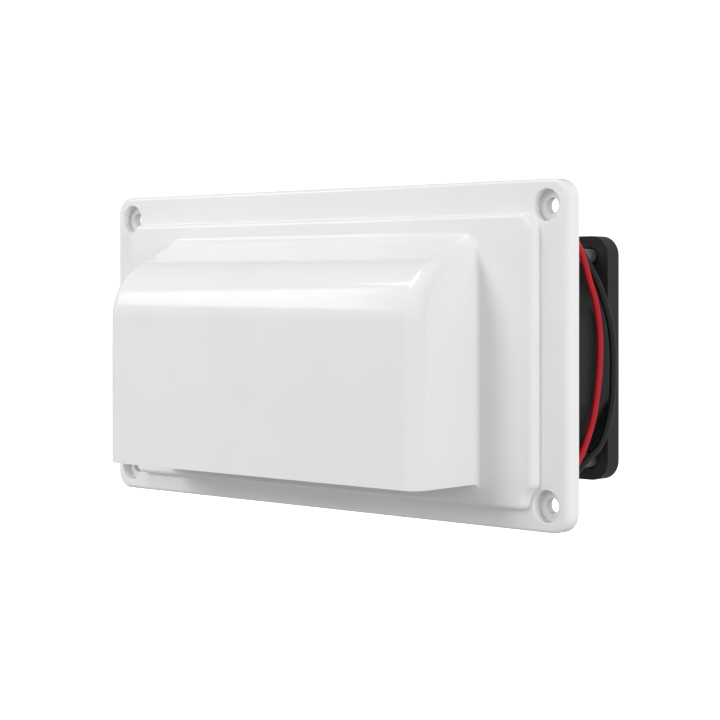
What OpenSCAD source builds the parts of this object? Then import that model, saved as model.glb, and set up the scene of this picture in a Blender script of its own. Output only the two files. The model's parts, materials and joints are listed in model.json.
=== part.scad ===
// Side-wall air vent: a hooded wall plate with two 12 V axial fans screwed to the back of its duct.
// Millimetres, +Z up. The wall lies in the plane Y = 0, the hood looks towards -Y and the fans
// stand towards +Y. The origin is the centre of the plate's rear face.

/* [Wall plate] */
// Width of the wall plate
plate_w = 152.5; // [144:0.5:200]
// Height of the wall plate
plate_h = 80; // [76:0.5:110]
// Thickness of the wall plate at its rim
plate_t = 4.6; // [3.6:0.1:8]
// Corner radius of the wall plate
plate_r = 4.4; // [2:0.1:6]
// Wall thickness of the moulding
skin = 2.2; // [1.6:0.1:3]

/* [Raised panel] */
// Height that the inner panel stands above the plate
panel_rise = 2.7; // [1:0.1:5]
// Plate left bare above the panel
panel_top = 7.9; // [6:0.1:9]
// Plate left bare below the panel
panel_bottom = 5; // [4:0.1:7]
// Plate left bare at each side of the panel
panel_side = 7.8; // [6.5:0.1:9]
// Radius of the round bay that clears each wall screw
panel_bay_r = 4.8; // [4.4:0.1:6]
// Radius of the panel's corners beside each bay
panel_corner_r = 2; // [1:0.1:2.5]

/* [Wall screws] */
// Distance from a screw hole's centre to the plate's side edge
screw_in_x = 5.75; // [5.5:0.05:7]
// Distance from a screw hole's centre to the plate's top or bottom edge
screw_in_z = 6; // [5.5:0.05:7]
// Bore of a wall screw hole
wall_screw_d = 3.6; // [3.4:0.1:5]
// Diameter of the counterbore for the screw's head
counterbore_d = 7.4; // [6.5:0.1:8.5]
// Depth of the counterbore
counterbore_depth = 2.4; // [1:0.1:2.6]

/* [Hood] */
// Width of the hood
hood_w = 105.4; // [80:0.2:112]
// Distance that the hood stands out from the raised panel
hood_out = 21.8; // [18.5:0.1:40]
// Height of the hood's top edge, where it meets the panel
hood_top = 27.4; // [24:0.1:29]
// Height of the hood's open lower edge, below the plate's centre
hood_bottom = -30; // [-32:0.1:-26]
// Radius between the hood's top and its front
hood_nose_r = 16; // [10:0.1:18]
// Fall of the hood's top, in degrees
hood_fall = 24; // [10:1:30]
// Radius of the hood's long and upright edges
hood_edge_r = 4; // [2.5:0.1:5]

/* [Duct and screen] */
// Depth of the duct behind the wall plane
duct_depth = 12.8; // [8:0.1:40]
// Thickness of the insect screen
screen_t = 1.2; // [0.8:0.1:2]
// Pitch of the screen's mesh
mesh_pitch = 4; // [3.5:0.1:6]
// Width of one bar of the mesh
mesh_bar = 0.9; // [0.6:0.1:1.4]

/* [Fans] */
// Side of the fan's square frame
fan_size = 60; // [58:0.5:62]
// Depth of the fan, front to back
fan_depth = 25; // [22.5:0.5:30]
// Gap between the two fans
fan_gap = 1; // [0.5:0.1:3]
// Height of the fans' centres above the plate's centre
fan_z = -2; // [-3:0.1:0]
// Distance between the centres of two fan screws
fan_pitch = 50; // [49:0.1:52]
// Thickness of each fan flange
flange_t = 4.8; // [3:0.1:6]
// Corner radius of the fan's flanges
flange_r = 4.8; // [3:0.1:6]
// Bore of the fan's duct
fan_bore = 57; // [54:0.5:58]
// Bore of the fan's screw holes
fan_hole_d = 4.4; // [4:0.1:5]
// Gap between the blade tips and the duct
tip_gap = 0.8; // [0.5:0.1:1.5]
// Number of blades
blades = 7; // [5:1:9]
// Diameter of the impeller's hub
hub_d = 28; // [27:0.5:34]

/* [Motor] */
// Diameter of the fan's shaft
shaft_d = 3; // [2.5:0.1:4]
// Outer diameter of the bearing sleeve
sleeve_d = 6; // [5.6:0.1:6.6]
// Radial clearance between the shaft and its sleeve
shaft_gap = 0.03; // [0.02:0.01:0.06]
// Gap between the stator and the magnet ring
air_gap = 0.5; // [0.3:0.1:0.8]
// Thickness of the magnet ring
magnet_t = 1.5; // [1:0.1:2]
// Thickness of the rotor's steel cup
yoke_t = 0.9; // [0.6:0.1:1.2]

/* [Fan screws] */
// Diameter of a fan screw's shank
fan_screw_d = 3.6; // [3:0.1:3.8]
// Length of the shank that bites into the duct's boss
screw_bite = 10; // [6:0.5:10]
// Diameter of the screw's pan head
head_d = 7; // [6:0.1:8]
// Height of the screw's pan head
head_h = 2.2; // [1.5:0.1:3]
// Radial gap between the shank and the boss's bore
thread_gap = 0.05; // [0.03:0.01:0.1]

/* [Leads] */
// Diameter of one insulated lead
lead_d = 1.7; // [1.4:0.1:1.8]
// Mean diameter of the right fan's lead coil, in lead diameters
right_coil_d = 10; // [9:0.5:11]
// Mean diameter of the left fan's lead coil, in lead diameters
left_coil_d = 12; // [10:0.5:12]

/* [Hidden] */
$fn = 64;
eps = 0.01;

// Colours
white = "white";
black = [0.1, 0.1, 0.11];
steel = [0.75, 0.76, 0.78];
red = [0.8, 0.08, 0.1];
copper = [0.75, 0.4, 0.2];
cream = [0.93, 0.9, 0.82];

// Planes across the vent, from front to back
panel_face = -plate_t - panel_rise;
hood_face = panel_face - hood_out;
panel_back = panel_face + skin;
plate_back = -plate_t + skin;
fan_front = duct_depth + screen_t;
fan_back = fan_front + fan_depth;

// Wall screw holes
screw_x = plate_w / 2 - screw_in_x;
screw_z = plate_h / 2 - screw_in_z;
wall_boss_r = counterbore_d / 2 + 1;

// The duct is as wide and as high as the two fans that close it
fan_x = (fan_size + fan_gap) / 2;
duct_w = 2 * fan_size + fan_gap;
duct_h = fan_size;
fan_boss_r = fan_screw_d / 2 + 2.1;
ribs_across = [-48, -24, 0, 24, 48];
rib_t = 1.6;

// Fan frame
bore_r = fan_bore / 2;
shell_r = fan_bore / 2 + 3.1;
base_t = 2;
base_r = hub_d / 2;
strut_w = 2.4;
strut_t = 3.5;
lead_angle = -60;
channel_w = 2 * lead_d + 0.4;
channel_floor = 2.4;
lead_strut_w = channel_w + 1.6;
lead_strut_t = 4.6;
slot_top = 8;
board_seat = 2.6;
tube_r = sleeve_d / 2 + 1.4;
tube_top = 18;
cover_r = 9;
cover_t = 0.25;

// Motor, measured from the fan's front face
hub_front = 5.2;
hub_back = fan_depth - 1;
hub_wall = 1.2;
hub_end_t = 1.4;
yoke_r = hub_d / 2 - hub_wall;
magnet_r = yoke_r - yoke_t;
stator_r = magnet_r - magnet_t - air_gap;
core_front = 8;
core_t = 6;
former_t = 1;
neck_w = 3;
shoe_t = 1.3;
coil_t = 0.4;
board_r = yoke_r - 0.6;
board_t = 1;
sleeve_front = 3;
sleeve_back = 17;
washer_t = 0.4;
shaft_front = 1.4;
groove_front = 2;
groove_w = 0.5;
shaft_seat_r = shaft_d / 2 + 1.1;
blade_front = 6.6;
blade_t = 1.1;
blade_lean = 38;
blade_back = hub_back - 0.6;
first_blade = 12;

// Leads and what is on them
lead_r = lead_d / 2;
lead_sides = 8;
fan_top = fan_z + fan_size / 2;
right_coil_at = [24, 26.5];
left_coil_at = [-24, 26.5];
coil_lanes = 2;
coil_layers = 4;
tie_t = 0.6;
tie_w = 2.5;
plug_size = [9.8, 7.4, 5.8];
plug_pin_gap = 2.5;
right_plug_at = [37.5, 34.7];
left_plug_at = [-45, 17.7];

// Each lead's route from the circuit board to its coil, then from the coil to its plug
right_red_route = [
    [37.4, 17.3, -12.1], [41.3, 17.3, -18.9], [43.3, 17.5, -22.3], [45.3, 18.6, -25.8],
    [46.9, 19.8, -28.6], [49, 20.5, -30], [52, 20.8, -30.3], [55.5, 21, -30.2], [58, 21.4, -29.3],
    [59.5, 22.2, -27.3], [60.2, 23.3, -25], [60.9, 25.3, -20.5], [61.3, 26.9, -16], [61.8, 27.9, -9.5],
    [62, 28.6, -2.5], [61.9, 28.8, 4], [61.5, 27.5, 12], [61, 25.7, 17], [60.8, 24.1, 21],
    [60.5, 22.9, 24], [59.4, 22, 26.6], [57, 21.4, 28.3], [53.5, 20.9, 28.9], [48, 20, 28.9],
    [42, 18.9, 28.9], [36, 17.8, 28.9], [30, 17.2, 28.9], [27, 17.2, 28.9]];
right_black_route = [
    [35.85, 17.3, -13.1], [39.7, 17.3, -19.8], [41.7, 17.5, -23.2], [43.7, 18.8, -26.7],
    [45.4, 20.4, -29.4], [47.4, 21.9, -30.6], [50.5, 22.8, -30.6], [55, 23, -30.5], [58.2, 23.3, -29.5],
    [60, 24.4, -27.2], [60.6, 27, -25.3], [60.9, 29.5, -23.7], [61.3, 31.2, -21.2], [61.9, 32.6, -16.7],
    [62.4, 33.2, -12], [62.8, 33.1, -5], [62.9, 32.8, 1], [62.7, 32, 6.5], [62.3, 30.4, 11.5],
    [61.7, 28.3, 16.5], [60.4, 26, 21], [59.2, 24.7, 24.3], [57.2, 23.6, 27], [54, 22.9, 28.6],
    [48, 21.9, 29.2], [44, 21, 30.1], [38, 18.6, 30.6], [33, 17.5, 30.6], [27, 17.2, 30.6]];
right_red_tail = [[27, 35.8, 32.2], [30.5, 35.85, 31.7], [34.5, 35.95, 31], [37, 35.95, 30.9],
    [38.3, 35.95, 30.9]];
right_black_tail = [[27, 35.8, 33.9], [30, 34.9, 33.4], [33, 33.9, 32.1], [35.3, 33.5, 31.1],
    [37, 33.45, 30.9], [38.3, 33.45, 30.9]];
left_red_route = [
    [-20.4, 17.3, 4.9], [-13.6, 17.3, 8.8], [-10.2, 17.5, 10.8], [-6.7, 18.6, 12.8],
    [-3.9, 19.9, 14.6], [-2.3, 20.6, 17], [-1.8, 20.7, 20.5], [-1.9, 20.5, 24.5], [-3, 20, 27.5],
    [-5.8, 19.1, 29.2], [-10, 17.6, 29.1], [-15, 16.2, 28.9], [-21, 15.5, 28.9]];
left_black_route = [
    [-19.4, 17.3, 3.4], [-12.7, 17.3, 7.2], [-9.3, 17.5, 9.2], [-5.8, 18.8, 11.2],
    [-2.9, 20.6, 13.1], [-0.8, 22, 15.6], [0.1, 22.4, 19], [0.2, 22.3, 23], [-0.6, 21.9, 27],
    [-3.2, 20.9, 30.4], [-8, 18.9, 31.4], [-14, 17, 30.9], [-21, 15.5, 30.6]];
left_red_tail = [[-27, 15.6, 32.2], [-32, 15.8, 31.8], [-38, 16.3, 31.1], [-43, 16.45, 30.9],
    [-45.8, 16.45, 30.9]];
left_black_tail = [[-27, 15.6, 33.9], [-32, 16.6, 33.3], [-38, 18.1, 31.8], [-43, 18.95, 30.9],
    [-45.8, 18.95, 30.9]];

// ---- Shared shapes ----

// Extrudes an outline drawn in X and Z from plane y0 back to plane y1
module slab(y0, y1) {
    translate([0, y1, 0]) rotate([90, 0, 0]) linear_extrude(y1 - y0) children();
}

// A cylinder along Y from plane y0 to plane y1
module rod(y0, y1, r, r_back = undef) {
    translate([0, y1, 0]) rotate([90, 0, 0])
        cylinder(h = y1 - y0, r1 = is_undef(r_back) ? r : r_back, r2 = r);
}

// A ring along Y
module ring(y0, y1, r, bore) {
    difference() {
        rod(y0, y1, r);
        rod(y0 - 1, y1 + 1, bore);
    }
}

module rounded(w, h, r) {
    union() {
        square([w - 2 * r, h], center = true);
        square([w, h - 2 * r], center = true);
        for (x = [-1, 1], z = [-1, 1]) translate([x * (w / 2 - r), z * (h / 2 - r)]) circle(r);
    }
}

module at_wall_screws() {
    for (x = [-1, 1], z = [-1, 1]) translate([x * screw_x, 0, z * screw_z]) children();
}

module at_fan_corners() {
    for (x = [-1, 1], z = [-1, 1]) translate([x * fan_pitch / 2, 0, z * fan_pitch / 2]) children();
}

module at_fans() {
    for (side = [-1, 1]) translate([side * fan_x, 0, fan_z]) children();
}

// The right fan's leads leave at its lower right corner, the left fan is turned a quarter turn
module right_fan() { translate([fan_x, fan_front, fan_z]) children(); }
module left_fan() { translate([-fan_x, fan_front, fan_z]) rotate([0, -90, 0]) children(); }

// ---- Vent housing ----

// What the two rounded corners beside a bay take off a panel that reaches to [side, edge]
module bay_corners(side, edge) {
    reach = panel_bay_r + panel_corner_r;
    z1 = edge - panel_corner_r;
    x1 = screw_x - sqrt(pow(reach, 2) - pow(screw_z - z1, 2));
    x2 = side - panel_corner_r;
    z2 = screw_z - sqrt(pow(reach, 2) - pow(screw_x - x2, 2));
    difference() {
        polygon([[x1, z1], [x1, edge + 1], [screw_x, screw_z]]);
        translate([x1, z1]) circle(panel_corner_r);
    }
    difference() {
        polygon([[x2, z2], [side + 1, z2], [screw_x, screw_z]]);
        translate([x2, z2]) circle(panel_corner_r);
    }
}

module panel_outline(inset) {
    top = plate_h / 2 - panel_top - inset;
    bottom = plate_h / 2 - panel_bottom - inset;
    side = plate_w / 2 - panel_side - inset;
    difference() {
        translate([-side, -bottom]) square([2 * side, top + bottom]);
        for (x = [-1, 1], z = [-1, 1]) {
            translate([x * screw_x, z * screw_z]) circle(panel_bay_r + inset);
            if (inset == 0) scale([x, z]) bay_corners(side, z > 0 ? top : bottom);
        }
    }
}

// The hood's side view, drawn with Y to the right and Z up, inset from its outside all round
module hood_profile(inset) {
    r = hood_nose_r - inset;
    nose = [hood_face + hood_nose_r, hood_top - hood_nose_r / cos(hood_fall)
            - tan(hood_fall) * (-hood_nose_r - hood_face + panel_face)];
    back = 0;
    crown = nose + r * [-sin(hood_fall), cos(hood_fall)];
    polygon(concat(
        [[back, hood_bottom - 10], [back, crown[1] + (back - crown[0]) * tan(hood_fall)]],
        [for (a = [90 + hood_fall : (90 - hood_fall) / 12 : 180.01]) nose + r * [cos(a), sin(a)]],
        [[hood_face + inset, hood_bottom - 10]]));
}

// A length of the hood's profile across the vent
module hood_run(inset, half) {
    translate([-half, 0, 0]) rotate([90, 0, 90]) linear_extrude(2 * half) hood_profile(inset);
}

module hood_outside() {
    difference() {
        minkowski() {
            hood_run(hood_edge_r, hood_w / 2 - hood_edge_r);
            sphere(hood_edge_r, $fn = 32);
        }
        translate([-plate_w, panel_face + skin / 2, -plate_h]) cube([2 * plate_w, plate_h, 2 * plate_h]);
        translate([-plate_w, -plate_h, hood_bottom - plate_h]) cube([2 * plate_w, 2 * plate_h, plate_h]);
    }
}

// What the air passes through: the hood's inside, open below, and the window in the panel
window_top = hood_top - skin;
window_bottom = hood_bottom + skin;
module air_way() {
    intersection() {
        hood_run(skin, hood_w / 2 - skin);
        translate([-plate_w, -plate_h, hood_bottom - 1])
            cube([2 * plate_w, plate_h + panel_face, 2 * plate_h]);
    }
    translate([-hood_w / 2 + skin, panel_face - 1, window_bottom])
        cube([hood_w - 2 * skin, 1 + skin + 1, window_top - window_bottom]);
}

module duct_outline(inset) {
    translate([0, fan_z]) rounded(duct_w - 2 * inset, duct_h - 2 * inset, flange_r - inset);
}

// The hollow behind the plate, which leaves the rim, the ribs, the screw bosses and the duct
module back_hollow(inset) {
    difference() {
        children();
        duct_outline(0);
        for (x = [-1, 1], z = [-1, 1]) translate([x * screw_x, z * screw_z]) circle(wall_boss_r);
        for (x = ribs_across) translate([x - rib_t / 2, -plate_h]) square([rib_t, 2 * plate_h]);
        translate([-plate_w, fan_z - rib_t / 2]) square([2 * plate_w, rib_t]);
    }
}

module vent_housing() {
    color(white) difference() {
        union() {
            difference() {
                union() {
                    slab(-plate_t, 0) rounded(plate_w, plate_h, plate_r);
                    slab(panel_face, -plate_t + skin / 2) panel_outline(0);
                    hood_outside();
                    slab(-skin, duct_depth) duct_outline(0);
                }
                air_way();
                slab(panel_back, duct_depth + 1) duct_outline(skin);
                slab(plate_back, 1) back_hollow()
                    rounded(plate_w - 2 * skin, plate_h - 2 * skin, plate_r - skin / 2);
                slab(panel_back, plate_back + eps) back_hollow() panel_outline(skin);
            }
            at_fans() at_fan_corners() rod(panel_back - eps, duct_depth, fan_boss_r);
        }
        at_fans() at_fan_corners() rod(duct_depth - screw_bite, duct_depth + 1, fan_screw_d / 2 + thread_gap);
        at_wall_screws() {
            rod(-plate_t - 1, 1, wall_screw_d / 2);
            rod(-plate_t - 1, -plate_t + counterbore_depth, counterbore_d / 2);
        }
    }
}

// ---- Insect screen ----

module insect_screen() {
    hole = mesh_pitch - mesh_bar;
    reach = floor(bore_r / mesh_pitch);
    color(black) difference() {
        slab(duct_depth, fan_front) difference() {
            duct_outline(0);
            for (side = [-1, 1], i = [-reach : reach], j = [-reach : reach])
                if (norm([i, j] * mesh_pitch) + mesh_pitch * 0.7 < bore_r)
                    translate([side * fan_x + i * mesh_pitch, fan_z + j * mesh_pitch])
                        square(hole, center = true);
        }
        at_fans() at_fan_corners() rod(duct_depth - 1, fan_front + 1, fan_hole_d / 2);
    }
}

// ---- Fan, drawn with its front face at Y = 0 and its axis on Y ----

module square_flange() { rounded(fan_size, fan_size, flange_r); }

module strut(angle, width, thickness) {
    rotate([0, -angle, 0]) translate([base_r - 1, 0, -width / 2]) cube([bore_r - base_r + 2, thickness, width]);
}

module fan_frame() {
    color(black) difference() {
        union() {
            difference() {
                union() {
                    slab(0, flange_t) square_flange();
                    slab(fan_depth - flange_t, fan_depth) square_flange();
                    slab(0, fan_depth) intersection() {
                        circle(shell_r);
                        square(fan_size, center = true);
                    }
                }
                rod(-1, fan_depth + 1, bore_r);
                rod(fan_depth - 3, fan_depth + eps, bore_r - eps, bore_r + 1);
            }
            rod(0, base_t, base_r);
            rod(0, board_seat, tube_r + 1);
            rod(0, tube_top, tube_r);
            for (k = [1, 2, 3]) strut(lead_angle + 90 * k, strut_w, strut_t);
            strut(lead_angle, lead_strut_w, lead_strut_t);
        }
        rod(-1, tube_top + 1, sleeve_d / 2);
        rod(-1, cover_t, cover_r);
        at_fan_corners() rod(-1, fan_depth + 1, fan_hole_d / 2);
        // The channel that carries the leads out along the strut, and the slot through the duct
        rotate([0, -lead_angle, 0]) {
            translate([board_r - 0.2, channel_floor, -channel_w / 2]) cube([bore_r - board_r + 6, flange_t, channel_w]);
            translate([bore_r - 1, channel_floor, -channel_w / 2 - 0.6])
                cube([6, slot_top - channel_floor, channel_w + 1.2]);
        }
    }
}

// One blade: a leaning plate with a rounded lead-in, cut to the hub and the tip circle
module blade() {
    span = blade_back - blade_front;
    rise = span / 2;
    intersection() {
        ring(blade_front, blade_back, bore_r - tip_gap, hub_d / 2 - hub_wall / 2);
        translate([0, blade_front + rise, 0]) rotate([blade_lean + 90, 0, 0])
            translate([0, -span, -blade_t / 2]) cube([bore_r, 2 * span, blade_t]);
    }
}

module impeller() {
    color(black) {
        difference() {
            union() {
                rod(hub_front, hub_back, hub_d / 2);
                for (k = [0 : blades - 1]) rotate([0, first_blade + k * 360 / blades, 0]) blade();
            }
            rod(hub_front - 1, hub_back - hub_end_t, yoke_r);
        }
        ring(sleeve_back + washer_t + 0.2, hub_back - hub_end_t + eps, shaft_seat_r, shaft_d / 2);
    }
}

module rotor_yoke() {
    color(steel) difference() {
        rod(hub_front + 0.8, hub_back - hub_end_t, yoke_r);
        rod(hub_front, hub_back - hub_end_t - yoke_t, magnet_r);
        rod(hub_front, hub_back, shaft_seat_r);
    }
}

module magnet_ring() {
    color([0.25, 0.25, 0.27]) ring(core_front - 1, core_front + core_t + 3, magnet_r, magnet_r - magnet_t);
}

module shaft() {
    color(steel) difference() {
        rod(shaft_front, hub_back - hub_end_t, shaft_d / 2);
        ring(groove_front, groove_front + groove_w, shaft_d, shaft_d / 2 - 0.4);
    }
}

module bearing_sleeve() {
    color("peru") ring(sleeve_front, sleeve_back, sleeve_d / 2, shaft_d / 2 + shaft_gap);
}

module thrust_washer() {
    color(cream) ring(sleeve_back, sleeve_back + washer_t, sleeve_d / 2 - 0.2, shaft_d / 2 + 2 * shaft_gap);
}

module retaining_clip() {
    color(cream) ring(groove_front + 0.03, groove_front + groove_w - 0.03, sleeve_d / 2 - 0.3, shaft_d / 2 - 0.35);
}

module pole_outline(width, reach) {
    for (k = [0 : 3]) rotate(90 * k) translate([0, -width / 2]) square([reach, width]);
}

module stator_core() {
    color(steel) slab(core_front, core_front + core_t) difference() {
        union() {
            circle(tube_r + 0.9);
            pole_outline(neck_w, stator_r - shoe_t / 2);
            difference() {
                circle(stator_r);
                circle(stator_r - shoe_t);
                for (k = [0 : 3]) rotate(90 * k + 45) translate([0, -1]) square([2 * stator_r, 2]);
            }
        }
        circle(tube_r);
    }
}

module coil_former() {
    color(cream) for (y = [core_front - former_t, core_front + core_t])
        slab(y, y + former_t) difference() {
            union() {
                circle(tube_r + 0.9);
                pole_outline(neck_w, stator_r - shoe_t - 0.1);
            }
            circle(tube_r);
        }
}

module windings() {
    coil_r0 = tube_r + 1;
    wide = neck_w + 3;
    coil_r1 = sqrt(pow(stator_r - shoe_t, 2) - pow(wide / 2, 2)) - 0.1;
    color(copper) for (k = [0 : 3]) rotate([0, 90 * k, 0]) difference() {
        translate([coil_r0, core_front - former_t - coil_t, -wide / 2])
            cube([coil_r1 - coil_r0, core_t + 2 * former_t + 2 * coil_t, wide]);
        translate([coil_r0 - 1, core_front - former_t, -neck_w / 2])
            cube([coil_r1, core_t + 2 * former_t, neck_w]);
    }
}

// The drive electronics: a round board with its sensor, chip and capacitor
module circuit_board() {
    face = board_seat + board_t;
    color("darkgreen") {
        ring(board_seat, face, board_r, tube_r);
        translate([6, face - eps, -1.5]) cube([3, 1.2, 3]);
        translate([-9.4, face - eps, -2.4]) cube([3.6, 1.4, 4.8]);
        translate([-1, face - eps, 6.4]) cube([2, 0.9, 3.2]);
    }
}

module bearing_cover() {
    color(steel) rod(0, cover_t, cover_r - 0.2);
}

// ---- Fan screws ----

module fan_screw() {
    recess = 0.9;
    difference() {
        union() {
            rod(duct_depth - screw_bite + 0.5, fan_back + eps, fan_screw_d / 2);
            rod(fan_back, fan_back + head_h * 0.45, head_d / 2);
            rod(fan_back + head_h * 0.45, fan_back + head_h, head_d / 2, head_d / 2 - head_h * 0.5);
        }
        for (turn = [0, 90]) rotate([0, turn, 0])
            translate([-head_d * 0.3, fan_back + head_h - 1.1, -recess / 2]) cube([head_d * 0.6, 2, recess]);
    }
}

module fan_screws() {
    color(steel) at_fans() at_fan_corners() fan_screw();
}

// ---- Leads ----

function unit(v) = v / norm(v);
function heading(route, i) = unit(route[min(i + 1, len(route) - 1)] - route[max(i - 1, 0)]);
function ring_points(centre, along) =
    let (side = unit(cross(along, [0, 1, 0])), up = cross(side, along))
    [for (k = [0 : lead_sides - 1])
        let (a = 360 * k / lead_sides) centre + lead_r * (cos(a) * side + sin(a) * up)];
function ring_faces(i) =
    [for (k = [0 : lead_sides - 1])
        let (a = i * lead_sides, b = a + lead_sides, n = (k + 1) % lead_sides) [a + k, a + n, b + n, b + k]];

module lead(route) {
    last = len(route) - 1;
    points = [for (i = [0 : last]) each ring_points(route[i], heading(route, i))];
    sides = [for (i = [0 : last - 1]) each ring_faces(i)];
    front = [for (k = [lead_sides - 1 : -1 : 0]) k];
    back = [for (k = [0 : lead_sides - 1]) last * lead_sides + k];
    polyhedron(points, concat(sides, [front, back]));
}

module right_red_lead() { color(red) { lead(right_red_route); lead(right_red_tail); } }
module right_black_lead() { color(black) { lead(right_black_route); lead(right_black_tail); } }
module left_red_lead() { color(red) { lead(left_red_route); lead(left_red_tail); } }
module left_black_lead() { color(black) { lead(left_black_route); lead(left_black_tail); } }

// The stored turns of a fan's two leads, lying flat on top of the fan
module lead_coil(at, mean_d) {
    r = mean_d * lead_d / 2;
    half = coil_lanes * lead_r;
    color("dimgray") translate([at[0], at[1], fan_top])
        rotate_extrude() translate([r - half, 0]) square([2 * half, coil_layers * lead_d]);
}

// A nylon tie round one side of a coil
module cable_tie(at, mean_d, side) {
    r = mean_d * lead_d / 2;
    half = coil_lanes * lead_r;
    high = coil_layers * lead_d;
    outside = r + half;
    inside = sqrt(pow(r - half, 2) - pow(tie_w / 2, 2)) - 0.1;
    color(white) translate([at[0], at[1] - tie_w / 2, fan_top]) scale([side, 1, 1]) {
        difference() {
            translate([inside - tie_t, 0, -tie_t]) cube([outside - inside + 2 * tie_t, tie_w, high + 2 * tie_t]);
            translate([inside, -1, 0]) cube([outside - inside, tie_w + 2, high]);
        }
        translate([r - 1.6, -0.4, high + tie_t - eps]) cube([3.2, tie_w + 0.8, 2]);
    }
}

// A two-way plug housing with its open socket end and the holes that its leads enter
module lead_plug(at, side) {
    wall = 0.8;
    tongue = 6;
    entry_gap = 0.1;
    color(cream) translate([at[0], at[1], fan_top + plug_size[2] / 2]) scale([side, 1, 1]) difference() {
        translate([0, -plug_size[1] / 2, -plug_size[2] / 2]) cube(plug_size);
        for (lane = [-1, 1]) {
            translate([plug_size[0] - tongue, lane * plug_pin_gap / 2 - 0.8, -0.8]) cube([tongue + 1, 1.6, 1.6]);
            translate([-1, lane * plug_pin_gap / 2, 0]) rotate([0, 90, 0]) cylinder(h = 1 + wall, r = lead_r + entry_gap);
        }
        translate([plug_size[0] - tongue, -plug_size[1] / 2 - 1, plug_size[2] / 2 - wall]) cube([tongue + 1, 2, 2]);
        translate([plug_size[0] - tongue, plug_size[1] / 2 - 1, plug_size[2] / 2 - wall]) cube([tongue + 1, 2, 2]);
    }
}

// ---- Nodes ----

vent_housing();
insect_screen();
fan_screws();
right_fan() fan_frame();  // right_fan_frame
right_fan() impeller();  // right_impeller
right_fan() rotor_yoke();  // right_rotor_yoke
right_fan() magnet_ring();  // right_magnet_ring
right_fan() shaft();  // right_shaft
right_fan() bearing_sleeve();  // right_bearing_sleeve
right_fan() thrust_washer();  // right_thrust_washer
right_fan() retaining_clip();  // right_retaining_clip
right_fan() stator_core();  // right_stator_core
right_fan() coil_former();  // right_coil_former
right_fan() windings();  // right_windings
right_fan() circuit_board();  // right_circuit_board
right_fan() bearing_cover();  // right_bearing_cover
right_red_lead();
right_black_lead();
lead_coil(right_coil_at, right_coil_d);  // right_lead_coil
cable_tie(right_coil_at, right_coil_d, -1);  // right_cable_tie
lead_plug(right_plug_at, 1);  // right_lead_plug
left_fan() fan_frame();  // left_fan_frame
left_fan() impeller();  // left_impeller
left_fan() rotor_yoke();  // left_rotor_yoke
left_fan() magnet_ring();  // left_magnet_ring
left_fan() shaft();  // left_shaft
left_fan() bearing_sleeve();  // left_bearing_sleeve
left_fan() thrust_washer();  // left_thrust_washer
left_fan() retaining_clip();  // left_retaining_clip
left_fan() stator_core();  // left_stator_core
left_fan() coil_former();  // left_coil_former
left_fan() windings();  // left_windings
left_fan() circuit_board();  // left_circuit_board
left_fan() bearing_cover();  // left_bearing_cover
left_red_lead();
left_black_lead();
lead_coil(left_coil_at, left_coil_d);  // left_lead_coil
cable_tie(left_coil_at, left_coil_d, 1);  // left_cable_tie
lead_plug(left_plug_at, -1);  // left_lead_plug
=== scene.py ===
import json
import math

import bmesh
import bpy
from mathutils import Matrix, Vector


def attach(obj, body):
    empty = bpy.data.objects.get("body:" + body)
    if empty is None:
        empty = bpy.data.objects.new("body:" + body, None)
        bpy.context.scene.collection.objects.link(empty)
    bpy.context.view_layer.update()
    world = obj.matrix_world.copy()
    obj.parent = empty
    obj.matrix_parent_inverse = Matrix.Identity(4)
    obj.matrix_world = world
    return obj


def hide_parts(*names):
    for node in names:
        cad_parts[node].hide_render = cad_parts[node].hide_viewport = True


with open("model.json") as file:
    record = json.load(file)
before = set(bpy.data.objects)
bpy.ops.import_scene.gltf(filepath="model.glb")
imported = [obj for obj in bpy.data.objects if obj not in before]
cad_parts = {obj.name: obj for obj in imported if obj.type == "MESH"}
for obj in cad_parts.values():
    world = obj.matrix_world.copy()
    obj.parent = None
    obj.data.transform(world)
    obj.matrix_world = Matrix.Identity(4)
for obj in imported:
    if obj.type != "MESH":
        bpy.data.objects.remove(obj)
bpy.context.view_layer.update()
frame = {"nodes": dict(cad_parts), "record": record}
NODES = frame["nodes"]
MM = 0.001
SIDES = ("right", "left")


# ---- Camera ----

def make_camera():
    data = bpy.data.cameras.new("camera")
    data.sensor_width = 36.0
    data.lens = 93.6
    data.shift_y = -0.105
    data.clip_start = 0.01
    data.clip_end = 20.0
    camera = bpy.data.objects.new("camera", data)
    camera.location = (0.3215, -0.3461, 0.0161)
    camera.rotation_euler = (math.radians(90), 0, math.radians(42))
    bpy.context.scene.collection.objects.link(camera)
    bpy.context.scene.camera = camera


make_camera()


# ---- Shared helpers ----

def link(name, data):
    piece = bpy.data.objects.new(name, data)
    bpy.context.scene.collection.objects.link(piece)
    return piece


def smooth_path(points, step):
    """Points about `step` apart on a centripetal Catmull-Rom curve through the given points."""
    pts = [Vector(p) for p in points]
    pts = [2 * pts[0] - pts[1]] + pts + [2 * pts[-1] - pts[-2]]
    out = []
    for a, b, c, d in zip(pts, pts[1:], pts[2:], pts[3:]):
        t1 = (b - a).length ** 0.5
        t2 = t1 + (c - b).length ** 0.5
        t3 = t2 + (d - c).length ** 0.5
        count = max(1, round((c - b).length / step))
        for i in range(count):
            t = t1 + (t2 - t1) * i / count
            ab = a.lerp(b, t / t1)
            bc = b.lerp(c, (t - t1) / (t2 - t1))
            cd = c.lerp(d, (t - t2) / (t3 - t2))
            near = ab.lerp(bc, t / t2)
            far = bc.lerp(cd, (t - t1) / (t3 - t1))
            out.append(near.lerp(far, (t - t1) / (t2 - t1)))
    return out + [pts[-2]]


# ---- Leads ----

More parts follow.
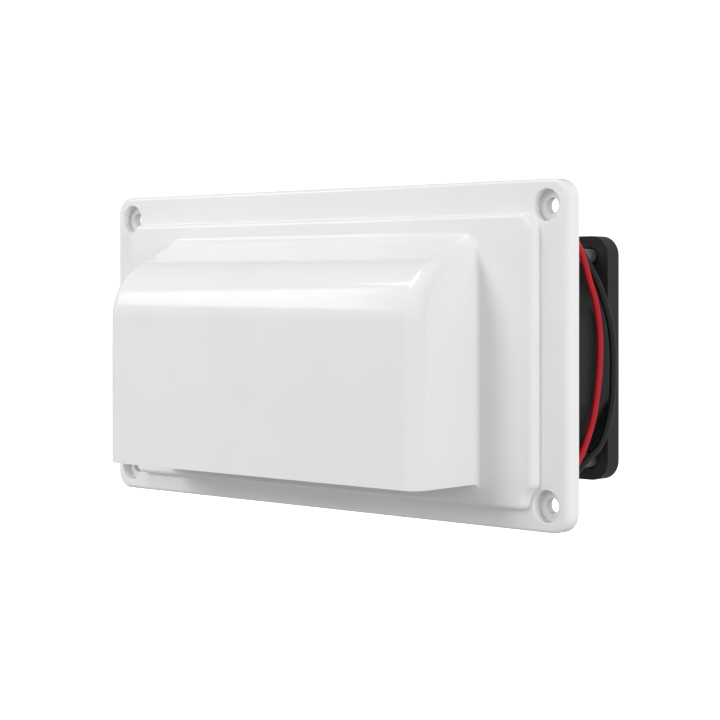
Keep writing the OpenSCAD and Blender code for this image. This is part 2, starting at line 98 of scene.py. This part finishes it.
LEAD_D = 1.7
ROUTES = {
    "right_red": [
        (37.4, 17.3, -12.1), (41.3, 17.3, -18.9), (43.3, 17.5, -22.3), (45.3, 18.6, -25.8),
        (46.9, 19.8, -28.6), (49, 20.5, -30), (52, 20.8, -30.3), (55.5, 21, -30.2), (58, 21.4, -29.3),
        (59.5, 22.2, -27.3), (60.2, 23.3, -25), (60.9, 25.3, -20.5), (61.3, 26.9, -16), (61.8, 27.9, -9.5),
        (62, 28.6, -2.5), (61.9, 28.8, 4), (61.5, 27.5, 12), (61, 25.7, 17), (60.8, 24.1, 21),
        (60.5, 22.9, 24), (59.4, 22, 26.6), (57, 21.4, 28.3), (53.5, 20.9, 28.9), (48, 20, 28.9),
        (42, 18.9, 28.9), (36, 17.8, 28.9), (30, 17.2, 28.9), (27, 17.2, 28.9)],
    "right_black": [
        (35.85, 17.3, -13.1), (39.7, 17.3, -19.8), (41.7, 17.5, -23.2), (43.7, 18.8, -26.7),
        (45.4, 20.4, -29.4), (47.4, 21.9, -30.6), (50.5, 22.8, -30.6), (55, 23, -30.5), (58.2, 23.3, -29.5),
        (60, 24.4, -27.2), (60.6, 27, -25.3), (60.9, 29.5, -23.7), (61.3, 31.2, -21.2), (61.9, 32.6, -16.7),
        (62.4, 33.2, -12), (62.8, 33.1, -5), (62.9, 32.8, 1), (62.7, 32, 6.5), (62.3, 30.4, 11.5),
        (61.7, 28.3, 16.5), (60.4, 26, 21), (59.2, 24.7, 24.3), (57.2, 23.6, 27), (54, 22.9, 28.6),
        (48, 21.9, 29.2), (44, 21, 30.1), (38, 18.6, 30.6), (33, 17.5, 30.6), (27, 17.2, 30.6)],
    "left_red": [
        (-20.4, 17.3, 4.9), (-13.6, 17.3, 8.8), (-10.2, 17.5, 10.8), (-6.7, 18.6, 12.8),
        (-3.9, 19.9, 14.6), (-2.3, 20.6, 17), (-1.8, 20.7, 20.5), (-1.9, 20.5, 24.5), (-3, 20, 27.5),
        (-5.8, 19.1, 29.2), (-10, 17.6, 29.1), (-15, 16.2, 28.9), (-21, 15.5, 28.9)],
    "left_black": [
        (-19.4, 17.3, 3.4), (-12.7, 17.3, 7.2), (-9.3, 17.5, 9.2), (-5.8, 18.8, 11.2),
        (-2.9, 20.6, 13.1), (-0.8, 22, 15.6), (0.1, 22.4, 19), (0.2, 22.3, 23), (-0.6, 21.9, 27),
        (-3.2, 20.9, 30.4), (-8, 18.9, 31.4), (-14, 17, 30.9), (-21, 15.5, 30.6)],
}
TAILS = {
    "right_red": [(27, 35.8, 32.2), (30.5, 35.85, 31.7), (34.5, 35.95, 31), (37, 35.95, 30.9),
                  (38.3, 35.95, 30.9)],
    "right_black": [(27, 35.8, 33.9), (30, 34.9, 33.4), (33, 33.9, 32.1), (35.3, 33.5, 31.1),
                    (37, 33.45, 30.9), (38.3, 33.45, 30.9)],
    "left_red": [(-27, 15.6, 32.2), (-32, 15.8, 31.8), (-38, 16.3, 31.1), (-43, 16.45, 30.9),
                 (-45.8, 16.45, 30.9)],
    "left_black": [(-27, 15.6, 33.9), (-32, 16.6, 33.3), (-38, 18.1, 31.8), (-43, 18.95, 30.9),
                   (-45.8, 18.95, 30.9)],
}
COILS = {"right": ((24, 26.5), 10, 2.5), "left": ((-24, 26.5), 12, 3)}
FAN_TOP = 28
COIL_STEP = 20  # degrees between points of a turn
CROSSING = 60  # degrees over which a lead crosses to the next lane or deck


def ease(part):
    """Runs smoothly from 0 to 1 as part does, and stays level outside."""
    part = min(1, max(0, part))
    return part * part * (3 - 2 * part)


def coil_points(side, colour):
    """The stored turns: outer then inner lane on the lower deck, then back outwards on the upper deck."""
    (cx, cy), wide, turns = COILS[side]
    mean = wide * LEAD_D / 2
    outer, inner = mean + LEAD_D / 2, mean - LEAD_D / 2
    low = FAN_TOP + LEAD_D / 2 + (LEAD_D if colour == "black" else 0)
    points = []
    for t in range(0, int(turns * 360) + 1, COIL_STEP):
        part = ease((t % 360 - (360 - CROSSING)) / CROSSING)
        if t < 360:
            r, z = outer + (inner - outer) * part, low
        elif t < 720:
            r, z = inner, low + 2 * LEAD_D * part
        else:
            part = ease((t - turns * 360 + 2 * CROSSING) / (2 * CROSSING))
            r, z = inner + (outer - inner) * part, low + 2 * LEAD_D
        a = math.radians(-90 - t)
        points.append((cx + r * math.cos(a), cy + r * math.sin(a), z))
    return points


def make_lead(side, colour):
    key = side + "_" + colour
    points = ROUTES[key] + coil_points(side, colour) + TAILS[key]
    path = [p * MM for p in smooth_path(points, 0.9)]
    data = bpy.data.curves.new(key + "_cord", "CURVE")
    data.dimensions = "3D"
    data.bevel_depth = 1.0  # the points' radii give the size, so that the curve's bounds stay small
    data.bevel_resolution = 5
    data.use_fill_caps = True
    spline = data.splines.new("POLY")
    spline.points.add(len(path) - 1)
    for point, p in zip(spline.points, path):
        point.co = (*p, 1)
        point.radius = LEAD_D / 2 * MM
    spline.use_smooth = True
    piece = link(key + "_cord", data)
    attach(piece, "housing")
    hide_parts(key + "_lead", *([side + "_lead_coil"] if colour == "red" else []))
    return piece, path


LEADS = {}
for side in SIDES:
    for colour in ("red", "black"):
        LEADS[side + "_" + colour] = make_lead(side, colour)

# each lead's key split into its side and colour; nothing is computed from them
for key, (piece, path) in LEADS.items():
    side, colour = key.split("_")


# ---- Materials ----

def new_material(name):
    material = bpy.data.materials.new(name)
    material.use_nodes = True
    nodes = material.node_tree.nodes
    nodes.clear()
    out = nodes.new("ShaderNodeOutputMaterial")
    shader = nodes.new("ShaderNodeBsdfPrincipled")
    material.node_tree.links.new(shader.outputs["BSDF"], out.inputs["Surface"])
    return material, nodes, material.node_tree.links, shader


def noise(nodes, links, coords, scale, detail=4.0, rough=0.55, stretch=None):
    node = nodes.new("ShaderNodeTexNoise")
    node.inputs["Scale"].default_value = scale
    node.inputs["Detail"].default_value = detail
    node.inputs["Roughness"].default_value = rough
    source = coords
    if stretch:
        mapping = nodes.new("ShaderNodeMapping")
        mapping.inputs["Scale"].default_value = stretch
        links.new(coords, mapping.inputs["Vector"])
        source = mapping.outputs["Vector"]
    links.new(source, node.inputs["Vector"])
    return node.outputs["Fac"]


def ramp(nodes, links, source, low, high, a=0.3, b=0.7):
    """A value or colour that runs from low to high as the source goes from a to b."""
    node = nodes.new("ShaderNodeValToRGB")
    node.color_ramp.elements[0].position = a
    node.color_ramp.elements[1].position = b
    for element, value in zip(node.color_ramp.elements, (low, high)):
        element.color = (*value, 1) if hasattr(value, "__len__") else (value, value, value, 1)
    links.new(source, node.inputs["Fac"])
    return node.outputs["Color"]


def bump(nodes, links, height, strength, distance, after=None):
    node = nodes.new("ShaderNodeBump")
    node.inputs["Strength"].default_value = strength
    node.inputs["Distance"].default_value = distance
    links.new(height, node.inputs["Height"])
    if after is not None:
        links.new(after, node.inputs["Normal"])
    return node.outputs["Normal"]


SPECK_EDGE = 0.04


def plastic(name, dark, light, rough, grain, specks=None, waves=None):
    """Moulded plastic: slow colour drift, fine surface grain, and roughness that varies a little."""
    material, nodes, links, shader = new_material(name)
    coords = nodes.new("ShaderNodeTexCoord").outputs["Object"]
    drift = noise(nodes, links, coords, 35, 3)
    colour = ramp(nodes, links, drift, dark, light)
    if specks:
        scale, tint, share = specks
        dots = noise(nodes, links, coords, scale, 2, 0.6)
        mask = ramp(nodes, links, dots, 0.0, 1.0, 1 - share, 1 - share + SPECK_EDGE)
        mix = nodes.new("ShaderNodeMix")
        mix.data_type = "RGBA"
        links.new(mask, mix.inputs["Factor"])
        links.new(colour, mix.inputs["A"])
        mix.inputs["B"].default_value = (*tint, 1)
        colour = mix.outputs["Result"]
    links.new(colour, shader.inputs["Base Color"])
    wear = noise(nodes, links, coords, 120, 5)
    links.new(ramp(nodes, links, wear, rough[0], rough[1], 0.25, 0.75), shader.inputs["Roughness"])
    scale, strength, distance = grain
    normal = bump(nodes, links, noise(nodes, links, coords, scale, 3), strength, distance)
    if waves:
        normal = bump(nodes, links, noise(nodes, links, coords, waves[0], 1), waves[1], waves[2], normal)
    links.new(normal, shader.inputs["Normal"])
    shader.inputs["Specular IOR Level"].default_value = 0.5
    return material


def metal(name, dark, light, rough, stretch=(1, 1, 1), scale=400):
    """Bare or plated metal with a drawn or tumbled grain."""
    material, nodes, links, shader = new_material(name)
    coords = nodes.new("ShaderNodeTexCoord").outputs["Object"]
    tint = noise(nodes, links, coords, 60, 4)
    links.new(ramp(nodes, links, tint, dark, light), shader.inputs["Base Color"])
    shader.inputs["Metallic"].default_value = 1.0
    grain = noise(nodes, links, coords, scale, 4, 0.6, stretch)
    links.new(ramp(nodes, links, grain, rough[0], rough[1]), shader.inputs["Roughness"])
    links.new(bump(nodes, links, grain, 0.08, 0.00003), shader.inputs["Normal"])
    return material


MATERIALS = {
    "white_abs": plastic("white_abs", (0.81, 0.81, 0.81), (0.835, 0.835, 0.835), (0.09, 0.14),
                         (1400, 0.02, 0.00001), waves=(45, 0.02, 0.0002)),
    "black_mesh": plastic("black_mesh", (0.012, 0.012, 0.013), (0.02, 0.02, 0.021), (0.45, 0.6),
                          (2500, 0.2, 0.00003)),
    "black_pbt": plastic("black_pbt", (0.014, 0.014, 0.015), (0.022, 0.022, 0.023), (0.5, 0.62),
                         (3000, 0.16, 0.00002), specks=(2600, (0.05, 0.05, 0.052), 0.3)),
    "screw_steel": metal("screw_steel", (0.5, 0.51, 0.52), (0.62, 0.63, 0.64), (0.4, 0.55)),
    "plated_steel": metal("plated_steel", (0.4, 0.41, 0.43), (0.52, 0.53, 0.55), (0.3, 0.5)),
    "polished_steel": metal("polished_steel", (0.6, 0.6, 0.62), (0.72, 0.72, 0.74), (0.1, 0.2),
                            (1, 0.1, 1)),
    "ferrite": plastic("ferrite", (0.03, 0.03, 0.033), (0.05, 0.05, 0.054), (0.5, 0.7),
                       (1800, 0.3, 0.00004)),
    "sintered_bronze": metal("sintered_bronze", (0.42, 0.26, 0.12), (0.55, 0.36, 0.18), (0.35, 0.55),
                             scale=2500),
    "natural_nylon": plastic("natural_nylon", (0.62, 0.6, 0.52), (0.72, 0.7, 0.62), (0.35, 0.45),
                             (1600, 0.1, 0.00002)),
    "copper_wire": metal("copper_wire", (0.45, 0.16, 0.06), (0.6, 0.25, 0.1), (0.2, 0.35),
                         (1, 14, 1), 900),
    "board_green": plastic("board_green", (0.012, 0.09, 0.035), (0.02, 0.13, 0.05), (0.2, 0.3),
                           (900, 0.1, 0.00003)),
    "silver_label": metal("silver_label", (0.6, 0.6, 0.6), (0.68, 0.68, 0.69), (0.3, 0.4), (8, 1, 8)),
    "red_pvc": plastic("red_pvc", (0.4, 0.006, 0.014), (0.48, 0.01, 0.02), (0.32, 0.42),
                       (1200, 0.12, 0.00002)),
    "black_pvc": plastic("black_pvc", (0.008, 0.008, 0.009), (0.013, 0.013, 0.014), (0.28, 0.4),
                         (1200, 0.12, 0.00002)),
    "plug_nylon": plastic("plug_nylon", (0.66, 0.64, 0.56), (0.76, 0.74, 0.66), (0.32, 0.42),
                          (1600, 0.1, 0.00002)),
}
SLOT_OF = {s["node"]: s["material_slot"] for s in frame["record"]["subparts"]}


def dress(piece, slot):
    piece.data.materials.clear()
    piece.data.materials.append(MATERIALS[slot])


for name, node in NODES.items():
    dress(node, SLOT_OF[name])
for key, (piece, _) in LEADS.items():
    dress(piece, key.split("_")[1] + "_pvc")


# ---- Housing ----

def finish_shading(piece, angle):
    mesh = piece.data
    mesh.shade_smooth()
    mesh.set_sharp_from_angle(angle=math.radians(angle))
    weighted = piece.modifiers.new("weighted", "WEIGHTED_NORMAL")
    weighted.keep_sharp = True
    weighted.weight = 80


def copy_of(node):
    """A working copy of a CAD node's mesh, welded and with its flat faces made whole."""
    bm = bmesh.new()
    bm.from_mesh(NODES[node].data)
    bmesh.ops.remove_doubles(bm, verts=bm.verts, dist=1e-6)
    bmesh.ops.dissolve_limit(bm, angle_limit=math.radians(0.3), use_dissolve_boundaries=False,
                             verts=bm.verts, edges=bm.edges)
    return bm


def mesh_piece(name, bm, slot, body, replaced, angle):
    """Makes a piece of the finished mesh, dresses it, and puts it in a CAD node's place."""
    mesh = bpy.data.meshes.new(name)
    bm.to_mesh(mesh)
    bm.free()
    if "custom_normal" in mesh.attributes:
        mesh.attributes.remove(mesh.attributes["custom_normal"])
    piece = link(name, mesh)
    dress(piece, slot)
    finish_shading(piece, angle)
    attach(piece, body)
    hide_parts(replaced)


HOLE_X, HOLE_Z = 70.5, 34
HOLE_MOUTH_R = 4.1
RIM_X, RIM_Z = 71, 35.5
PLATE_BACK, PLATE_FRONT, PANEL_FRONT, DUCT_END = 0.0, -0.0046, -0.0073, 0.0128
ROUNDINGS = (
    (PANEL_FRONT, "inside", 0.0011), (PLATE_FRONT, "inside", 0.0006), (PLATE_FRONT, "rim", 0.001),
    (PLATE_FRONT, "hole", 0.0004), (PLATE_BACK, "rim", 0.0003), (DUCT_END, "inside", 0.0003))


def place_of(co):
    """Which part of the plate a point is over, so that neighbouring edges can be rounded apart."""
    x, z = abs(co.x / MM), abs(co.z / MM)
    if math.hypot(x - HOLE_X, z - HOLE_Z) < HOLE_MOUTH_R:
        return "hole"
    return "rim" if x > RIM_X or z > RIM_Z else "inside"


def sharp_edges(bm, y, place, near=0.00002):
    return [e for e in bm.edges if len(e.link_faces) == 2 and e.calc_face_angle(0) > math.radians(30)
            and all(abs(v.co.y - y) < near and place_of(v.co) == place for v in e.verts)]


def rounded_housing():
    """The moulding with its rims, its panel's edge and foot, and its holes' mouths rounded over."""
    bm = copy_of("vent_housing")
    for y, place, width in ROUNDINGS:
        bmesh.ops.bevel(bm, geom=sharp_edges(bm, y, place), offset=width, offset_type="OFFSET",
                        segments=5, profile=0.5, affect="EDGES", clamp_overlap=True)
    bmesh.ops.triangulate(bm, faces=[f for f in bm.faces if len(f.verts) > 4])
    mesh_piece("housing_shell", bm, "white_abs", "housing", "vent_housing", 35)


rounded_housing()


# ---- Fans ----

FAN_FRONT = 14.0
FAN_X, FAN_Z = 30.5, -2.0
HUB_R, BLADE_R = 14.0, 27.65
HUB_SPAN = (5.2, 24.0)
BLADE_SPAN = (6.7, 23.3)
HOLLOW_R, HOLLOW_END = 12.8, 22.6
SHAFT_R, BOSS_R, BOSS_START = 1.5, 2.5, 17.7
BLADES = 7
FIRST_BLADE = 12  # degrees
ROOT_SINK = 0.5  # how far a blade's root runs into the hub
CHORD, CHORD_GROWTH = 17.5, 5.5  # distance a blade spans round the fan, and what it gains to the tip
SWEEP, TIP_TRIM, BOW = 4.5, 1.6, 1.7
HALF_THICK, TIP_THINNING, EDGE_THICK = 0.62, 0.2, 0.02
LATHE_STEPS = 96
ACROSS_STEPS, ALONG_STEPS = 10, 14


def lathe(bm, profile, steps=LATHE_STEPS):
    """Turns a profile of (radius, y) points about the Y axis; ends at radius 0 close it."""
    rings = []
    for r, y in profile:
        if r < 1e-6:
            rings.append([bm.verts.new((0, y, 0))])
        else:
            angles = [2 * math.pi * k / steps for k in range(steps)]
            rings.append([bm.verts.new((r * math.cos(a), y, r * math.sin(a))) for a in angles])
    for a, b in zip(rings, rings[1:]):
        for k in range(steps):
            n = (k + 1) % steps
            corners = [a[k % len(a)], a[n % len(a)], b[n % len(b)], b[k % len(b)]]
            face = [v for i, v in enumerate(corners) if v not in corners[:i]]
            bm.faces.new(face)


def fillet(corner, before, after, radius, steps):
    """Points of a quarter round that replaces a profile's right-angled corner."""
    corner, before, after = (Vector(p) for p in (corner, before, after))
    a = (before - corner).normalized() * radius
    b = (after - corner).normalized() * radius
    centre = corner + a + b
    return [tuple(centre - b * math.cos(t) - a * math.sin(t))
            for t in (math.pi / 2 * k / steps for k in range(steps + 1))]


def blade_point(across, along, lift):
    """A point of one blade, `lift` off its middle sheet.

    `across` runs from 0 at the hub to 1 at the tip, `along` from 0 at its rear edge to 1 at its front edge."""
    r = HUB_R - ROOT_SINK + (BLADE_R - HUB_R + ROOT_SINK) * across
    wide = CHORD + CHORD_GROWTH * across
    sweep = SWEEP * across * across
    y0, y1 = BLADE_SPAN
    trim = TIP_TRIM * across
    y = y1 - trim * 0.2 + (y0 + trim - y1 + trim * 0.2) * along
    bow = BOW * math.sin(math.pi * along)
    tangent = (along - 0.5) * wide + sweep
    lean = math.atan2(wide, y1 - y0)
    y += (bow + lift) * math.sin(lean)
    tangent += (bow + lift) * math.cos(lean)
    y = min(y1, max(y0, y))
    angle = tangent / r
    return Vector((r * math.cos(angle), y, r * math.sin(angle)))


def half_thickness(across, along):
    return (HALF_THICK - TIP_THINNING * across) * (1 - (2 * along - 1) ** 4) ** 0.5 + EDGE_THICK


def add_blade(bm, turn):
    rotate = Matrix.Rotation(turn, 3, "Y")
    sheets = []
    for sign in (1, -1):
        sheet = []
        for i in range(ACROSS_STEPS + 1):
            across = i / ACROSS_STEPS
            row = []
            for j in range(ALONG_STEPS + 1):
                along = j / ALONG_STEPS
                lift = sign * half_thickness(across, along)
                row.append(bm.verts.new(rotate @ blade_point(across, along, lift)))
            sheet.append(row)
        sheets.append(sheet)
        for i in range(ACROSS_STEPS):
            for j in range(ALONG_STEPS):
                quad = [sheet[i][j], sheet[i + 1][j], sheet[i + 1][j + 1], sheet[i][j + 1]]
                bm.faces.new(quad if sign < 0 else quad[::-1])
    top, low = sheets
    for j in range(ALONG_STEPS):
        for i, flip in ((0, False), (ACROSS_STEPS, True)):
            quad = [top[i][j], top[i][j + 1], low[i][j + 1], low[i][j]]
            bm.faces.new(quad[::-1] if flip else quad)
    for i in range(ACROSS_STEPS):
        for j, flip in ((0, True), (ALONG_STEPS, False)):
            quad = [top[i][j], top[i + 1][j], low[i + 1][j], low[i][j]]
            bm.faces.new(quad[::-1] if flip else quad)


def place(bm, side):
    """From a fan's own frame in millimetres to its place in the vent; the left fan is a quarter turn round."""
    sign = 1 if side == "right" else -1
    if side == "left":
        quarter = Matrix.Rotation(math.radians(-90), 3, "Y")
        bmesh.ops.rotate(bm, cent=(0, 0, 0), matrix=quarter, verts=bm.verts)
    bmesh.ops.translate(bm, verts=bm.verts, vec=(sign * FAN_X, FAN_FRONT, FAN_Z))
    bmesh.ops.scale(bm, verts=bm.verts, vec=(MM, MM, MM))


def make_impeller(side):
    bm = bmesh.new()
    y0, y1 = HUB_SPAN
    profile = [(SHAFT_R, HOLLOW_END), (SHAFT_R, BOSS_START), (BOSS_R, BOSS_START), (BOSS_R, HOLLOW_END),
               (HOLLOW_R, HOLLOW_END), (HOLLOW_R, y0)]
    profile += fillet((HUB_R, y0), (HOLLOW_R, y0), (HUB_R, y1), 0.3, 2)
    profile += fillet((HUB_R, y1), (HUB_R, y0), (0, y1), 1.1, 6)
    # a shallow ring groove on the cap, then a dimple in its middle
    profile += [(11.9, y1), (11.75, y1 - 0.2), (11.2, y1 - 0.2), (11.05, y1),
                (2.1, y1), (1.9, y1 - 0.25), (0, y1 - 0.25)]
    lathe(bm, profile)
    for k in range(BLADES):
        add_blade(bm, 2 * math.pi * k / BLADES + math.radians(FIRST_BLADE))
    place(bm, side)
    bmesh.ops.recalc_face_normals(bm, faces=bm.faces)
    mesh_piece(side + "_impeller_moulding", bm, "black_pbt", side + "_rotor", side + "_impeller", 40)


for side in SIDES:
    make_impeller(side)


# ---- Fan screws ----

SCREW_SPAN = (3.3, 39.0)
HEAD_H, HEAD_R, SHANK_R = 2.2, 3.5, 1.8
THREAD_PITCH, THREAD_DEPTH, THREAD_END = 1.4, 0.32, 14.0
CROSS_HALF, CROSS_REACH, CROSS_DEPTH = 0.46, 2.0, 1.05
CORNER = 25  # from a fan's axis to its screws, along X and Z
FIRST_TURN, TURN_STEP = 0.4, 0.73
SCREW_SIDES, RINGS_PER_TURN, CROWN_RINGS = 24, 8, 10


def add_screw(bm, x, z, turn):
    """A pan-head screw along Y with a cross recess, threaded up to THREAD_END and plain above it."""
    around = SCREW_SIDES
    angles = [2 * math.pi * k / around + turn for k in range(around)]
    y0, y1 = SCREW_SPAN
    count = round((y1 - y0) / THREAD_PITCH * RINGS_PER_TURN)
    rings = []
    for i in range(count + 1):
        y = y0 + (y1 - y0) * i / count
        ring = []
        for k, a in enumerate(angles):
            phase = (y / THREAD_PITCH - k / around) % 1
            crest = max(0.0, 1 - abs(phase - 0.5) / 0.3) if y < THREAD_END else 1.0
            tip = min(1.0, (y - y0 + 0.4) / 1.6)
            r = (SHANK_R - THREAD_DEPTH + THREAD_DEPTH * min(1, crest * 1.25)) * tip
            ring.append(bm.verts.new((x + r * math.cos(a), y, z + r * math.sin(a))))
        rings.append(ring)
    # the pan head, with its flat underside on the fan
    head = [(2.1, y1), (HEAD_R - 0.1, y1), (HEAD_R, y1 + 0.15), (HEAD_R, y1 + HEAD_H * 0.42)]
    head += [(HEAD_R - 1.1 * (1 - math.cos(t)), y1 + HEAD_H * (0.42 + 0.56 * math.sin(t)))
             for t in (0.3, 0.6, 0.9, 1.2, 1.45)]
    for r, y in head:
        rings.append([bm.verts.new((x + r * math.cos(a), y, z + r * math.sin(a))) for a in angles])
    for a, b in zip(rings, rings[1:]):
        for k in range(around):
            n = (k + 1) % around
            bm.faces.new([a[k], a[n], b[n], b[k]])
    bm.faces.new(rings[0][::-1])
    # the crowned top with its cross: a grid of rings whose floor drops inside the cross
    previous = rings[-1]
    outer = [v.co.copy() for v in previous]
    for step in range(1, CROWN_RINGS):
        part = 1 - step / CROWN_RINGS
        ring = []
        for k, a in enumerate(angles):
            r = (outer[k] - Vector((x, outer[k].y, z))).length * part
            u, v = r * math.cos(a - turn), r * math.sin(a - turn)
            in_cross = min(abs(u), abs(v)) < CROSS_HALF and max(abs(u), abs(v)) < CROSS_REACH
            y = y1 + HEAD_H * (0.98 + 0.02 * (1 - part)) - (CROSS_DEPTH if in_cross else 0)
            ring.append(bm.verts.new((x + r * math.cos(a), y, z + r * math.sin(a))))
        for k in range(around):
            n = (k + 1) % around
            bm.faces.new([previous[k], previous[n], ring[n], ring[k]])
        previous = ring
    bm.faces.new(previous)


def make_screws():
    bm = bmesh.new()
    turn = FIRST_TURN
    for side in (-1, 1):
        for dx in (-CORNER, CORNER):
            for dz in (-CORNER, CORNER):
                add_screw(bm, side * FAN_X + dx, FAN_Z + dz, turn)
                turn += TURN_STEP
    bmesh.ops.scale(bm, verts=bm.verts, vec=(MM, MM, MM))
    bmesh.ops.recalc_face_normals(bm, faces=bm.faces)
    mesh_piece("fan_screw_set", bm, "screw_steel", "housing", "fan_screws", 50)


make_screws()


# ---- Softened edges on the pieces that keep their CAD shape ----

def soften(name, width):
    piece = NODES[name]
    weld = piece.modifiers.new("weld", "WELD")
    weld.merge_threshold = 1e-6
    bevel = piece.modifiers.new("bevel", "BEVEL")
    bevel.width = width
    bevel.segments = 2
    bevel.limit_method = "ANGLE"
    bevel.angle_limit = math.radians(38)
    bevel.use_clamp_overlap = True
    weighted = piece.modifiers.new("weighted", "WEIGHTED_NORMAL")
    weighted.keep_sharp = False


for side in SIDES:
    soften(side + "_fan_frame", 0.25)
    soften(side + "_lead_plug", 0.15)
    soften(side + "_cable_tie", 0.12)


# ---- Stage and light ----

def only_seen(piece):
    """The white surround shows behind the vent but throws no light back on it."""
    piece.visible_diffuse = piece.visible_glossy = piece.visible_transmission = False
    piece.visible_shadow = False


def paper(name, glow):
    material, nodes, links, shader = new_material(name)
    coords = nodes.new("ShaderNodeTexCoord").outputs["Object"]
    links.new(ramp(nodes, links, noise(nodes, links, coords, 3, 2), (0.93, 0.93, 0.93), (0.95, 0.95, 0.95)),
              shader.inputs["Base Color"])
    shader.inputs["Roughness"].default_value = 0.9
    shader.inputs["Emission Color"].default_value = (1, 1, 1, 1)
    shader.inputs["Emission Strength"].default_value = glow
    return material


def surround_piece(name, bm, glow):
    mesh = bpy.data.meshes.new(name)
    bm.to_mesh(mesh)
    bm.free()
    mesh.materials.append(paper(name + "_paper", glow))
    piece = link(name, mesh)
    only_seen(piece)


FLOOR_Z = -0.12


def make_surround():
    bm = bmesh.new()
    bmesh.ops.create_grid(bm, x_segments=24, y_segments=24, size=3)
    bmesh.ops.translate(bm, verts=bm.verts, vec=(0, 0, FLOOR_Z))
    surround_piece("floor", bm, 0.9)
    bm = bmesh.new()
    bmesh.ops.create_icosphere(bm, subdivisions=5, radius=6)
    surround_piece("backdrop", bm, 1.0)


def softbox(name, location, size, power, shines=True):
    """A lamp turned to the vent at the origin; one that does not shine leaves no reflection."""
    data = bpy.data.lights.new(name, "AREA")
    data.shape = "RECTANGLE"
    data.size, data.size_y = size
    data.energy = power
    light = link(name, data)
    light.location = location
    light.rotation_euler = (Vector((0, 0, 0)) - Vector(location)).to_track_quat("-Z", "Y").to_euler()
    light.visible_camera = False
    light.visible_glossy = shines
    return light


def panel_light(name, corner, right, up, power):
    """A lamp that fills the parallelogram from a corner along two edges and shines on the vent."""
    corner, right, up = Vector(corner), Vector(right), Vector(up)
    light = softbox(name, corner + (right + up) / 2, (right.length, up.length), power)
    x = right.normalized()
    z = x.cross(up).normalized()
    if z.dot(light.location) < 0:
        x, z = -x, -z
    turn = Matrix((x, z.cross(x), z)).transposed()
    light.rotation_euler = turn.to_euler()
    return light


def make_lights():
    world = bpy.data.worlds.new("studio")
    bpy.context.scene.world = world
    world.use_nodes = True
    background = world.node_tree.nodes["Background"]
    background.inputs["Color"].default_value = (1, 1, 1, 1)
    background.inputs["Strength"].default_value = 0.42
    softbox("key", (-0.35, -0.35, 0.87), (0.5, 0.5), 2.8)
    panel_light("band", (-1.19, -0.91, 0.43), (0.72, 0.3325, -0.2075), (0, 0.2475, 0.3175), 2.8)
    softbox("low_left", (-1.0, -0.35, 0.06), (0.4, 0.4), 1.9, shines=False)
    softbox("low_right", (1.0, -0.22, 0.1), (0.4, 0.4), 5.0, shines=False)
    softbox("front", (-0.32, -0.93, 0.36), (0.3, 0.3), 3.0, shines=False)
    softbox("rear", (0.6, 0.9, 0.5), (0.6, 0.6), 4.2, shines=False)


make_surround()
make_lights()
bpy.context.scene.view_settings.view_transform = "Standard"
